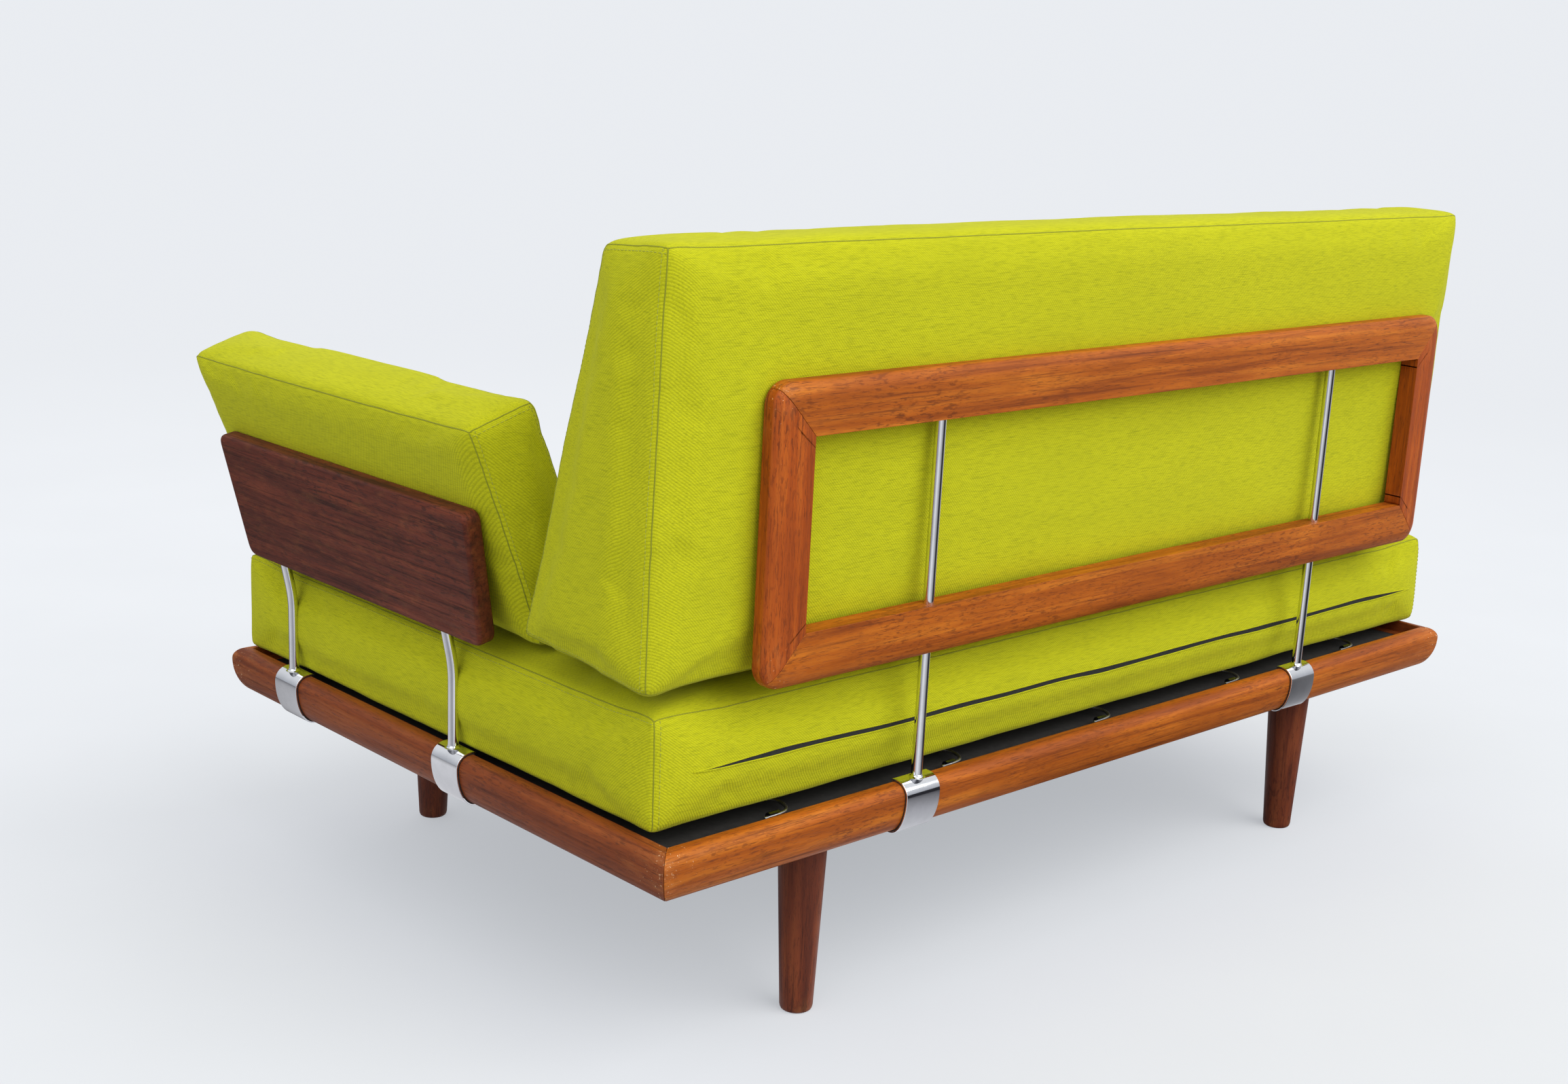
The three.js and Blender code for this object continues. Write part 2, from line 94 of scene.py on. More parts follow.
def new_object(name, points, faces, place=PLACE):
    mesh = bpy.data.meshes.new(name)
    mesh.from_pydata([place @ Vector(point) for point in points], [], faces)
    work = bmesh.new()
    work.from_mesh(mesh)
    bmesh.ops.recalc_face_normals(work, faces=work.faces)
    work.to_mesh(mesh)
    work.free()
    piece = bpy.data.objects.new(name, mesh)
    bpy.context.scene.collection.objects.link(piece)
    return piece


def loft(rings, first=0):
    """Points and faces of a closed body through rings that have the same number of points."""
    count = len(rings[0])
    points = [point for ring in rings for point in ring]
    faces = []
    for ring in range(len(rings) - 1):
        for side in range(count):
            a = first + ring * count + side
            b = first + ring * count + (side + 1) % count
            faces.append((a, b, b + count, a + count))
    last = first + (len(rings) - 1) * count
    faces.append(tuple(range(first + count - 1, first - 1, -1)))
    faces.append(tuple(range(last, last + count)))
    return points, faces


def loft_object(name, rings, place=PLACE):
    return new_object(name, *loft(rings), place)


def bake_modifiers(piece):
    """Keeps what the modifiers make of the mesh, and drops them."""
    graph = bpy.context.evaluated_depsgraph_get()
    mesh = bpy.data.meshes.new_from_object(piece.evaluated_get(graph))
    piece.modifiers.clear()
    piece.data = mesh
    return piece


def soften(piece, width, sharper_than=40, segments=3):
    """Rounds every edge that is sharper than an angle and shades the rest smooth."""
    bevel = piece.modifiers.new("bevel", "BEVEL")
    bevel.width = width * MM
    bevel.segments = segments
    bevel.limit_method = "ANGLE"
    bevel.angle_limit = math.radians(sharper_than)
    bevel.use_clamp_overlap = True
    bake_modifiers(piece)
    piece.data.shade_smooth()
    weighted = piece.modifiers.new("normals", "WEIGHTED_NORMAL")
    weighted.weight = 100
    return bake_modifiers(piece)


def circle(radius, sides, height=0.0):
    angles = [2 * math.pi * index / sides for index in range(sides)]
    return [(radius * math.cos(angle), radius * math.sin(angle), height) for angle in angles]


def lathe_rings(profile, sides):
    """Rings from [radius, height] points."""
    return [circle(radius, sides, height) for radius, height in profile]


def tube_rings(path, radius, sides):
    """Rings of a round bar along a path of points, with its two ends rounded off a little."""
    rings = []
    across = None
    for index, point in enumerate(path):
        ahead = (path[min(index + 1, len(path) - 1)] - path[max(index - 1, 0)]).normalized()
        across = ahead.orthogonal() if across is None else across
        across = (across - ahead * across.dot(ahead)).normalized()
        side = ahead.cross(across)
        ring = []
        for x, y, _ in circle(radius, sides):
            ring.append(point + across * x + side * y)
        rings.append(ring)
    closing = []
    for end, beside in ((0, 1), (-1, -2)):
        inward = (path[beside] - path[end]).normalized() * (0.15 * radius)
        closing.append([path[end] + (point - path[end]) * 0.85 for point in rings[end]])
        rings[end] = [point + inward for point in rings[end]]
    return [closing[0], *rings, closing[1]]


def bezier(points, steps):
    """Points along a quadratic curve."""
    start, middle, end = points
    found = []
    for index in range(steps + 1):
        t = index / steps
        found.append(start * (1 - t) ** 2 + middle * (2 * t * (1 - t)) + end * t ** 2)
    return found


def set_wear(piece, amount):
    """Stores how worn each point is, from 0 to 1, for the wood to read."""
    layer = piece.data.attributes.new("wear", "FLOAT", "POINT")
    layer.data.foreach_set("value", [amount(vertex.co) for vertex in piece.data.vertices])


def shade(piece, sharper_than=40):
    """Shades a piece smooth but for its sharp edges."""
    piece.data.shade_smooth()
    piece.data.set_sharp_from_angle(angle=math.radians(sharper_than))


def dress(piece, material, body):
    piece.data.materials.clear()
    piece.data.materials.append(material)
    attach(piece, body)
    return piece


# ---------------------------------------------------------------- material helpers

def add_node(tree, kind, inputs=None, **settings):
    node = tree.nodes.new("ShaderNode" + kind)
    for key, value in settings.items():
        setattr(node, key, value)
    for key, value in (inputs or {}).items():
        if isinstance(value, bpy.types.NodeSocket):
            tree.links.new(value, node.inputs[key])
        else:
            node.inputs[key].default_value = value
    return node


def start_material(name):
    material = bpy.data.materials.new(name)
    material.use_nodes = True
    tree = material.node_tree
    shader = tree.nodes["Principled BSDF"]
    return material, tree, shader


def coordinates(tree, scale):
    place = add_node(tree, "TexCoord")
    return add_node(tree, "Mapping", {"Vector": place.outputs["Object"], "Scale": scale}).outputs[0]


def noise_at(tree, scale, size=1.0, detail=2.0, roughness=0.5, distortion=0.0):
    inputs = {"Vector": coordinates(tree, scale), "Scale": size, "Detail": detail,
              "Roughness": roughness, "Distortion": distortion}
    return add_node(tree, "TexNoise", inputs).outputs[0]


def ramp(tree, value, stops):
    """A colour ramp from (position, colour) stops."""
    node = add_node(tree, "ValToRGB", {"Fac": value})
    elements = node.color_ramp.elements
    while len(elements) < len(stops):
        elements.new(0.5)
    for element, (position, colour) in zip(elements, stops):
        element.position = position
        element.color = (*colour, 1)
    return node.outputs[0]


def mix(tree, factor, first, second, blend="MIX"):
    node = tree.nodes.new("ShaderNodeMix")
    node.data_type = "RGBA"
    node.blend_type = blend
    for index, value in ((0, factor), (6, first), (7, second)):
        if isinstance(value, bpy.types.NodeSocket):
            tree.links.new(value, node.inputs[index])
        else:
            node.inputs[index].default_value = value if index == 0 else (*value, 1)
    return node.outputs[2]


def between(tree, value, low, high, to_low=0.0, to_high=1.0):
    """Maps a value from low..high to to_low..to_high, smoothly and without going past either."""
    inputs = {"Value": value, "From Min": low, "From Max": high, "To Min": to_low, "To Max": to_high}
    return add_node(tree, "MapRange", inputs, interpolation_type="SMOOTHSTEP").outputs[0]


def maths(tree, operation, first, second=0.0):
    return add_node(tree, "Math", {0: first, 1: second}, operation=operation).outputs[0]


def bump(tree, height, distance, strength=1.0, under=None):
    inputs = {"Height": height, "Distance": distance * MM, "Strength": strength}
    if under is not None:
        inputs["Normal"] = under
    return add_node(tree, "Bump", inputs).outputs[0]


# ---------------------------------------------------------------- materials

def along(axis, lengthwise, crosswise):
    """A scale that is one value along an axis and another across it."""
    return tuple(lengthwise if index == axis else crosswise for index in range(3))


def wood(name, axis, dark, middle, light, streak, streak_share, gloss=0.42):
    """Oiled teak with its grain along an axis: figure, growth streaks, open pores and worn spots."""
    material, tree, shader = start_material(name)
    figure = noise_at(tree, along(axis, 3, 75), 1.0, 6, 0.65, 0.6)
    colour = ramp(tree, figure, [(0.34, dark), (0.5, middle), (0.66, light)])
    streaks = noise_at(tree, along(axis, 5, 260), 1.0, 5, 0.65, 0.4)
    streak_mask = between(tree, streaks, 0.56 - streak_share, 0.72 - streak_share)
    colour = mix(tree, maths(tree, "MULTIPLY", streak_mask, 0.7), colour, streak)
    pores = noise_at(tree, along(axis, 60, 1500), 1.0, 2, 0.6)
    pore_mask = between(tree, pores, 0.58, 0.66)
    colour = mix(tree, maths(tree, "MULTIPLY", pore_mask, 0.6), colour, tuple(0.4 * c for c in streak))
    flecks = between(tree, noise_at(tree, along(axis, 85, 360), 1.0, 3, 0.6), 0.53, 0.62)
    fleck_patches = between(tree, noise_at(tree, (6, 6, 6), 1.0, 3, 0.6), 0.42, 0.62, 0.0, 0.6)
    colour = mix(tree, maths(tree, "MULTIPLY", flecks, fleck_patches), colour, streak)
    patches = noise_at(tree, (11, 11, 11), 1.0, 4, 0.6)
    colour = mix(tree, between(tree, patches, 0.35, 0.7, 0.0, 0.4), colour, dark)
    worn = add_node(tree, "Attribute", attribute_name="wear").outputs["Fac"]
    chips = noise_at(tree, (330, 330, 330), 1.0, 3, 0.7)
    chip_mask = between(tree, maths(tree, "ADD", chips, maths(tree, "MULTIPLY", worn, 0.2)), 0.8, 0.84)
    scuffs = noise_at(tree, along(axis, 30, 90), 1.0, 4, 0.7)
    scuff_mask = maths(tree, "MULTIPLY", between(tree, scuffs, 0.45, 0.75), worn)
    colour = mix(tree, maths(tree, "MULTIPLY", scuff_mask, 0.35), colour, (0.62, 0.24, 0.07))
    colour = mix(tree, chip_mask, colour, (0.72, 0.45, 0.25))
    rough = between(tree, streaks, 0.3, 0.75, gloss, gloss + 0.16)
    surface = bump(tree, figure, 0.5, 0.25)
    surface = bump(tree, pore_mask, -0.12, 0.7, surface)
    tree.links.new(colour, shader.inputs["Base Color"])
    tree.links.new(rough, shader.inputs["Roughness"])
    tree.links.new(surface, shader.inputs["Normal"])
    shader.inputs["Specular IOR Level"].default_value = 0.22
    return material


def metal(name, colour, dull, roughness, smudge, ripple=0.02):
    """Polished or plain metal with faint handling marks."""
    material, tree, shader = start_material(name)
    marks = noise_at(tree, (45, 45, 45), 1.0, 5, 0.6)
    fine = noise_at(tree, (600, 600, 90), 1.0, 2, 0.5)
    colours = ramp(tree, marks, [(0.3, colour), (0.8, dull)])
    rough = between(tree, marks, 0.45, 0.8, roughness, roughness + smudge)
    tree.links.new(colours, shader.inputs["Base Color"])
    tree.links.new(rough, shader.inputs["Roughness"])
    tree.links.new(bump(tree, fine, ripple, 0.2), shader.inputs["Normal"])
    shader.inputs["Metallic"].default_value = 1.0
    return material


TWILL_PITCH = 2.1  # between the twill's ribs, in millimetres


def twill_wave(tree):
    """Ribs that run diagonally on every upright or level face."""
    period = TWILL_PITCH * MM * math.sqrt(2)
    inputs = {"Vector": coordinates(tree, (1, 1, -1)), "Scale": 2 * math.pi / (10 * period),
              "Distortion": 0.5, "Detail": 2.0, "Detail Scale": 0.6}
    settings = dict(wave_type="BANDS", bands_direction="DIAGONAL", wave_profile="SIN")
    return add_node(tree, "TexWave", inputs, **settings).outputs["Fac"]


def fabric(name, axis, light=(0.56, 0.56, 0.01), dark=(0.38, 0.395, 0.009)):
    """Wool twill: diagonal ribs, and threads of two greens that streak along the cloth's length."""
    material, tree, shader = start_material(name)
    ribs = twill_wave(tree)
    lengthwise = noise_at(tree, along(axis, 75, 1200), 1.0, 3, 0.55)
    crosswise = noise_at(tree, along(1 - axis, 75, 1200), 1.0, 3, 0.55)
    facing = add_node(tree, "SeparateXYZ", {0: add_node(tree, "NewGeometry").outputs["Normal"]})
    end_face = between(tree, maths(tree, "ABSOLUTE", facing.outputs[axis]), 0.6, 0.8)
    streaks = mix(tree, end_face, lengthwise, crosswise)
    threads = ramp(tree, streaks, [(0.3, dark), (0.52, light), (0.7, tuple(1.06 * c for c in light))])
    broad = noise_at(tree, along(axis, 5, 14), 1.0, 5, 0.6)
    threads = mix(tree, between(tree, broad, 0.3, 0.8, 0.0, 0.3), threads, dark)
    colour = mix(tree, between(tree, ribs, 0.1, 0.6, 0.35, 0.0), threads, tuple(0.6 * c for c in dark))
    specks = noise_at(tree, (1400, 1400, 1400), 1.0, 1, 0.5)
    colour = mix(tree, between(tree, specks, 0.5, 0.8, 0.0, 0.35), colour, (0.62, 0.62, 0.05))
    height = maths(tree, "ADD", maths(tree, "MULTIPLY", ribs, 0.6), maths(tree, "MULTIPLY", specks, 0.4))
    tree.links.new(colour, shader.inputs["Base Color"])
    tree.links.new(bump(tree, height, 0.35, 0.6), shader.inputs["Normal"])
    shader.inputs["Roughness"].default_value = 0.92
    shader.inputs["Specular IOR Level"].default_value = 0.12
    shader.inputs["Sheen Weight"].default_value = 0.12
    shader.inputs["Sheen Roughness"].default_value = 0.45
    shader.inputs["Sheen Tint"].default_value = (0.8, 0.85, 0.3, 1)
    return material


def plain(name, colour, variation, roughness, grain_size, height):
    """A matt surface with a fine grain, such as raw timber, rubber or thread."""
    material, tree, shader = start_material(name)
    grain = noise_at(tree, (grain_size,) * 3, 1.0, 4, 0.6)
    tree.links.new(ramp(tree, grain, [(0.3, colour), (0.7, variation)]), shader.inputs["Base Color"])
    tree.links.new(bump(tree, grain, height, 0.5), shader.inputs["Normal"])
    shader.inputs["Roughness"].default_value = roughness
    return material


def teak(name, axis):
    return wood(name, axis, (0.27, 0.056, 0.004), (0.46, 0.11, 0.006), (0.6, 0.175, 0.012),
                (0.1, 0.02, 0.004), 0.03)


def dark_teak(name, axis):
    return wood(name, axis, (0.07, 0.014, 0.007), (0.14, 0.027, 0.012), (0.22, 0.048, 0.018),
                (0.022, 0.007, 0.005), 0.05, 0.5)


TEAK_X = teak("teak_grain_x", 0)
TEAK_Y = wood("teak_grain_y", 1, (0.16, 0.032, 0.007), (0.26, 0.056, 0.01), (0.34, 0.085, 0.014),
              (0.07, 0.016, 0.006), 0.02)
TEAK_Z = wood("teak_grain_z", 2, (0.26, 0.046, 0.005), (0.42, 0.078, 0.006), (0.53, 0.12, 0.01),
              (0.12, 0.022, 0.005), 0.0)
BOARD_TEAK = dark_teak("board_teak", 1)
LEG_TEAK = wood("leg_teak", 2, (0.1, 0.021, 0.009), (0.17, 0.037, 0.014), (0.25, 0.062, 0.02),
                (0.04, 0.01, 0.006), 0.04)
BEECH = wood("beech", 1, (0.4, 0.26, 0.14), (0.5, 0.34, 0.19), (0.56, 0.4, 0.24), (0.33, 0.2, 0.1),
             -0.05, 0.6)
CHROME = metal("chrome", (0.86, 0.87, 0.89), (0.74, 0.75, 0.77), 0.07, 0.14)
STEEL = metal("spring_steel", (0.5, 0.5, 0.5), (0.36, 0.36, 0.37), 0.3, 0.2, 0.06)
# blue-black of the spring clips: partly a blued finish, partly painted shade of the dark gap under the
# mattress
BLUED_STEEL_AND_SHADE = metal("blued_steel_painted_shade", (0.1, 0.11, 0.13), (0.06, 0.065, 0.08), 0.22, 0.2, 0.06)
LINER = plain("clip_liner", (0.02, 0.018, 0.017), (0.035, 0.03, 0.028), 0.8, 300, 0.1)
LENGTH_CLOTH = fabric("wool_lengthwise", 0)
DEPTH_CLOTH = fabric("wool_crosswise", 1)
THREAD = plain("sewing_thread", (0.33, 0.35, 0.02), (0.45, 0.47, 0.04), 0.7, 900, 0.05)
SEAM = plain("seam_shadow", (0.22, 0.235, 0.008), (0.31, 0.325, 0.01), 0.9, 700, 0.1)
ZIP = plain("zip_tape", (0.007, 0.008, 0.007), (0.016, 0.016, 0.015), 0.8, 500, 0.2)
# near black: painted shade, so that the gap under the mattress reads dark
SHADE_BLACK_PANEL = plain("black_board", (0.012, 0.011, 0.01), (0.024, 0.022, 0.02), 0.9, 160, 0.15)


# ---------------------------------------------------------------- rails

def rail_surface(offset, top_steps=14, bottom_steps=24):
    """The rail's outer surface as [distance in from the nose, height] points, moved out by offset."""
    upper, lower = RAIL["top"] - RAIL["nose"], RAIL["nose"] - RAIL["bottom"]
    arcs = (
        (RAIL["top_round"], upper, 90, top_steps, 0),
        (RAIL["bottom_round"], lower, 180, bottom_steps, 1),
    )
    points = []
    for reach, drop, start, steps, first in arcs:
        for index in range(first, steps + 1):
            angle = math.radians(start + 90 * index / steps)
            normal = Vector((math.cos(angle) / reach, math.sin(angle) / drop)).normalized()
            points.append((reach + reach * math.cos(angle) + offset * normal.x,
                           RAIL["nose"] + drop * math.sin(angle) + offset * normal.y))
    return points


def rail_piece(node, length, nose, turn, material):
    """A rail with mitred ends. Locally it runs along X with its nose at y = 0."""
    outline = [(RAIL["lip"], RAIL["top"]), *rail_surface(0), (RAIL["thick"], RAIL["bottom"]),
               (RAIL["thick"], RAIL["ledge"]), (RAIL["lip"], RAIL["ledge"])]
    from_end = (0, 4, 15, 40, 90)
    stations = [(-1, step) for step in from_end] + [(1, step) for step in reversed(from_end)]
    rings = []
    for side, step in stations:
        end = length / 2 - GAP / math.sqrt(2) - step
        rings.append([(side * (end - inset), -inset, height) for inset, height in outline])
    place = PLACE @ Matrix.Translation(nose) @ Matrix.Rotation(math.radians(turn), 4, "Z")
    piece = loft_object(node.replace("rail", "fine_rail"), rings, place)
    soften(piece, 0.7, 50)
    corner = [Vector((x, y)) for x in (OPEN_END, ARM_END) for y in (FRONT, BACK)]
    near = 0.09
    set_wear(piece, lambda point: max(0.0, 1 - min((point.xy - spot).length for spot in corner) / near))
    dress(piece, material, "base")
    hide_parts(node)


def make_rails():
    rail_piece("rail_back", LENGTH, (0, DEPTH / 2, 0), 0, TEAK_X)
    rail_piece("rail_front", LENGTH, (0, -DEPTH / 2, 0), 180, TEAK_X)
    rail_piece("rail_arm_end", DEPTH, (LENGTH / 2, 0, 0), -90, TEAK_Y)
    rail_piece("rail_open_end", DEPTH, (-LENGTH / 2, 0, 0), 90, TEAK_Y)


# ---------------------------------------------------------------- legs and what is under the seat

def leg_piece(node):
    foot, head, top = LEG["foot"], LEG["head"], LEG["top"]
    slope = (head - foot) / top
    profile = [(foot - 3.2, 0), (foot - 2.2, 0.3), (foot - 1, 1.2), (foot - 0.3, 2.6), (foot + slope * 5, 5)]
    steps = 12
    for index in range(1, steps):
        height = 5 + (top - 6) * index / steps
        profile.append((foot + slope * height, height))
    profile += [(head, top - 1), (head - 0.6, top - 0.2), (head - 1.5, top)]
    middle = node_middle(node)
    place = PLACE @ Matrix.Translation((middle.x, middle.y, 0))
    piece = loft_object("fine_" + node, lathe_rings(profile, 64), place)
    piece.data.shade_smooth()
    set_wear(piece, lambda point: max(0.0, 0.7 - point.z / 0.03))
    dress(piece, LEG_TEAK, "base")
    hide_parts(node)


def spring_piece(node):
    """A zigzag wire: level runs joined by round turns, arched a little in the middle."""
    half = DEPTH / 2 - SPRING["reach"]
    pitch = 2 * half / SPRING["runs"]
    steps = SPRING["runs"] * 12
    path = []
    for index in range(steps + 1):
        phase = -SPRING["tail"] + (SPRING["runs"] * math.pi + 2 * SPRING["tail"]) * index / steps
        y = -half + pitch * (phase - math.sin(2 * phase) / 2) / math.pi
        z = SPRING["end_z"] + SPRING["rise"] * (1 - (y / half) ** 2)
        path.append(Vector((SPRING["half_width"] * math.sin(phase), y, z)))
    place = PLACE @ Matrix.Translation((node_middle(node).x, 0, 0))
    piece = loft_object("fine_" + node, tube_rings(path, SPRING["wire"], 10), place)
    shade(piece)
    dress(piece, STEEL, "base")
    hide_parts(node)


def make_understructure():
    for name in sorted(NODES):
        if name.startswith(("leg_stud", "leg_plate", "spring_clip")):
            # the spring clips get the blue-black steel, which is partly painted shade
            repaint(name, BLUED_STEEL_AND_SHADE if name.startswith("spring_clip") else STEEL)
        elif name.startswith("leg_"):
            leg_piece(name)
        elif name.startswith("seat_spring"):
            spring_piece(name)
        elif name.startswith(("bearer", "corner_block")):
            repaint(name, BEECH)
        elif name.endswith("_liner"):
            repaint(name, LINER)
        elif name == "dust_panel":
            # the dust panel is coloured near black as painted shade under the seat
            repaint(name, SHADE_BLACK_PANEL)


def repaint(name, material):
    mesh = NODES[name].data
    mesh.materials.clear()
    mesh.materials.append(material)
    mesh.shade_smooth()
    mesh.set_sharp_from_angle(angle=math.radians(35))


# ---------------------------------------------------------------- clips and rods

def band_surface(offset):
    """The rail's surface, with the hook over its lip and the stretch below it."""
    corner = []
    for angle in range(0, 91, 15):
        turn = math.radians(angle)
        corner.append((RAIL["lip"] + offset * math.cos(turn), RAIL["top"] + offset * math.sin(turn)))
    start = (RAIL["lip"] + offset, CLAMP["lip_bottom"])
    return [start, *corner, *rail_surface(offset)[1:], (CLAMP["under"], RAIL["bottom"] - offset)]


def clamp_piece(node, body, nose, turn):
    """A chrome band bent round the rail, with the weld that its rod stands in."""
    outline = band_surface(CLAMP["inside"] + CLAMP["band"]) + band_surface(CLAMP["inside"])[::-1]
    half = CLAMP["width"] / 2
    rings = [[(x, -inset, height) for inset, height in outline] for x in (-half, half)]
    place = PLACE @ Matrix.Translation(nose) @ Matrix.Rotation(math.radians(turn), 4, "Z")
    band = loft_object("fine_" + node, rings, place)
    soften(band, 0.5, 50)
    weld = []
    steps = 8
    for index in range(steps + 1):
        turned = math.radians(90 * index / steps)
        reach = COLLAR["foot"] - COLLAR["head"]
        radius = COLLAR["foot"] - reach * math.sin(turned)
        weld.append((radius, CLAMP_TOP - 0.3 + (COLLAR["height"] + 0.3) * (1 - math.cos(turned))))
    at_rod = place @ Matrix.Translation((0, -ROD["inset"], 0))
    collar = loft_object("weld_" + node, lathe_rings(weld, 40), at_rod)
    collar.data.shade_smooth()
    dress(band, CHROME, body)
    dress(collar, CHROME, body)
    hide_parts(node)


def rod_piece(node, body, path):
    piece = loft_object("fine_" + node, tube_rings(path, ROD["radius"], 32))
    shade(piece)
    dress(piece, CHROME, body)
    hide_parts(node)


def back_place():
    """The tilted frame of the backrest: its Z runs up the rods from the top of the clips."""
    middle = (node_middle("back_clamp_arm_side").x + node_middle("back_clamp_open_side").x) / 2
    foot = Matrix.Translation((middle, DEPTH / 2 - ROD["inset"], CLAMP_TOP))
    return foot @ Matrix.Rotation(-math.radians(BACKREST["tilt"]), 4, "X")


def make_back_rods():
    place = back_place()
    top = BACKREST["clear"] + BACKREST["height"] - BACKREST["member"] + BACKREST["seat"]
    for where in ("arm_side", "open_side"):
        clamp = f"back_clamp_{where}"
        x = node_middle(clamp).x - place.translation.x
        ends = [place @ Vector((x, 0, height)) for height in (ROD_FOOT - CLAMP_TOP, 60, 180, 300, top)]
        rod_piece(f"back_rod_{where}", "backrest", ends)
        clamp_piece(clamp, "backrest", (node_middle(clamp).x, DEPTH / 2, 0), 0)


def make_arm_rods():
    lean = math.radians(ARMREST["lean"])
    x = LENGTH / 2 - ROD["inset"]
    for where in ("front", "rear"):
        clamp = f"arm_clamp_{where}"
        y = node_middle(clamp).y
        knee = Vector((x, y, ARMREST["bend_z"]))
        up = Vector((math.sin(lean), 0, math.cos(lean)))
        start = knee - Vector((0, 0, ARMREST["bend"]))
        path = [Vector((x, y, ROD_FOOT)), Vector((x, y, (ROD_FOOT + start.z) / 2))]
        path += bezier((start, knee, knee + up * ARMREST["bend"]), 10)
        path.append(knee + up * (ARMREST["clear"] + ARMREST["seat"]))
        rod_piece(f"arm_rod_{where}", "armrest", path)
        clamp_piece(clamp, "armrest", (LENGTH / 2, y, 0), -90)


# ---------------------------------------------------------------- backrest frame

def frame_profile(width):
    """A member's section as [share of the width from the outer edge, depth] points. The outer
    edge is rolled over on the rear, and the inner edges are nearly sharp."""
    half = BACKREST["thick"] / 2
    points = []
    roll_across, roll_deep = 17, 9
    for index in range(11):
        angle = math.radians(90 * index / 10)
        points.append((roll_across * (1 - math.sin(angle)), half - roll_deep * (1 - math.cos(angle))))
    edge = 5
    for index in range(6):
        angle = math.radians(90 * index / 5)
        points.append((edge * (1 - math.cos(angle)), -half + edge * (1 - math.sin(angle))))
    points += [(width * 0.6, -half), (width, -half), (width, half), (width * 0.6, half)]
    return [(across / width, depth) for across, depth in points]


def frame_member(node, upright, side, material):
    """One of the four members between its two mitres."""
    half_x, half_z = BACKREST["length"] / 2, BACKREST["height"] / 2
    centre_z = BACKREST["clear"] + half_z
    radius = BACKREST["corner"]
    inner_x, inner_z = half_x - BACKREST["stile"], half_z - BACKREST["member"]
    long_half, short_half = (half_z, half_x) if upright else (half_x, half_z)
    inner_long, inner_short = (inner_z, inner_x) if upright else (inner_x, inner_z)
    straight = long_half - radius
    eighth = radius * math.pi / 4
    reach = straight + eighth
    saw = 0.15
    stations = [1 - saw / reach, 1 - 0.25 * eighth / reach, 1 - 0.5 * eighth / reach,
                1 - 0.75 * eighth / reach, straight / reach, 0.9, 0.75, 0.5, 0.25]
    stations = [-s for s in stations] + [0] + stations[::-1]
    profile = frame_profile(BACKREST["stile"] if upright else BACKREST["member"])
    rings = []
    for station in stations:
        run = abs(station) * reach
        turn = max(0.0, run - straight) / radius
        outer_long = min(run, straight) + radius * math.sin(turn)
        outer_short = short_half - radius * (1 - math.cos(turn))
        sign = math.copysign(1, station)
        ring = []
        for share, depth in profile:
            lengthwise = sign * (outer_long + (abs(station) * inner_long - outer_long) * share)
            crosswise = side * (outer_short + (inner_short - outer_short) * share)
            x, z = (crosswise, lengthwise) if upright else (lengthwise, crosswise)
            ring.append((x, depth, centre_z + z))
        rings.append(ring)
    piece = loft_object(node.replace("back_", "fine_back_"), rings, PLACE @ back_place())
    soften(piece, 0.5, 50)
    corners = []
    for sign_x in BESIDE:
        for sign_z in BESIDE:
            spot = Vector((sign_x * half_x, 0, centre_z + sign_z * half_z))
            corners.append(PLACE @ back_place() @ spot)
    near = 0.07
    set_wear(piece, lambda point: max(0.0, 1 - min((point - spot).length for spot in corners) / near))
    dress(piece, material, "backrest")
    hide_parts(node)


def make_backrest():
    frame_member("back_top_rail", False, 1, TEAK_X)
    frame_member("back_bottom_rail", False, -1, TEAK_X)
    frame_member("back_stile_arm_side", True, 1, TEAK_Z)
    frame_member("back_stile_open_side", True, -1, TEAK_Z)
    make_back_rods()


# ---------------------------------------------------------------- arm board

def rounded_outline(corners, radius, steps):
    """A closed outline of [x, y] points whose corners are rounded, and its outward normals."""
    points = []
    count = len(corners)
    for index, corner in enumerate(corners):
        corner = Vector(corner)
        start = corner + (Vector(corners[index - 1]) - corner).normalized() * radius
        end = corner + (Vector(corners[(index + 1) % count]) - corner).normalized() * radius
        points += bezier((start, corner, end), steps)
    normals = []
    for index in range(len(points)):
        ahead = (points[(index + 1) % len(points)] - points[index - 1]).normalized()
        normals.append(Vector((ahead.y, -ahead.x)))
    return points, normals


def make_arm_board():
    low, high = ARMREST["clear"], ARMREST["clear"] + ARMREST["height"]
    bottom, top, half = ARMREST["bottom_half"], ARMREST["top_half"], ARMREST["thick"] / 2
    middle = ARMREST["board_y"]
    corners = [(middle - bottom, low), (middle + bottom, low), (middle + top, high), (middle - top, high)]
    points, normals = rounded_outline(corners, ARMREST["corner"], 8)
    edge = ARMREST["edge"] + 1
    steps = 6
    layers = [(edge + 4, -half)]
    for index in range(steps + 1):
        angle = math.radians(90 * index / steps)
        layers.append((edge * (1 - math.sin(angle)), -half + edge * (1 - math.cos(angle))))
    layers += [(inset, -depth) for inset, depth in reversed(layers)]
    rings = []
    for inset, depth in layers:
        rings.append([(depth, point.x - inset * normal.x, point.y - inset * normal.y)
                      for point, normal in zip(points, normals)])
    knee = Matrix.Translation((LENGTH / 2 - ROD["inset"], 0, ARMREST["bend_z"]))
    lean = Matrix.Rotation(math.radians(ARMREST["lean"]), 4, "Y")
    piece = loft_object("fine_arm_board", rings, PLACE @ knee @ lean)
    piece.data.shade_smooth()
    set_wear(piece, lambda point: 0.25)
    dress(piece, BOARD_TEAK, "armrest")
    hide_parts("arm_board")
    make_arm_rods()


# ---------------------------------------------------------------- cushions

SIM_FRAMES = 20
VOXEL = 6


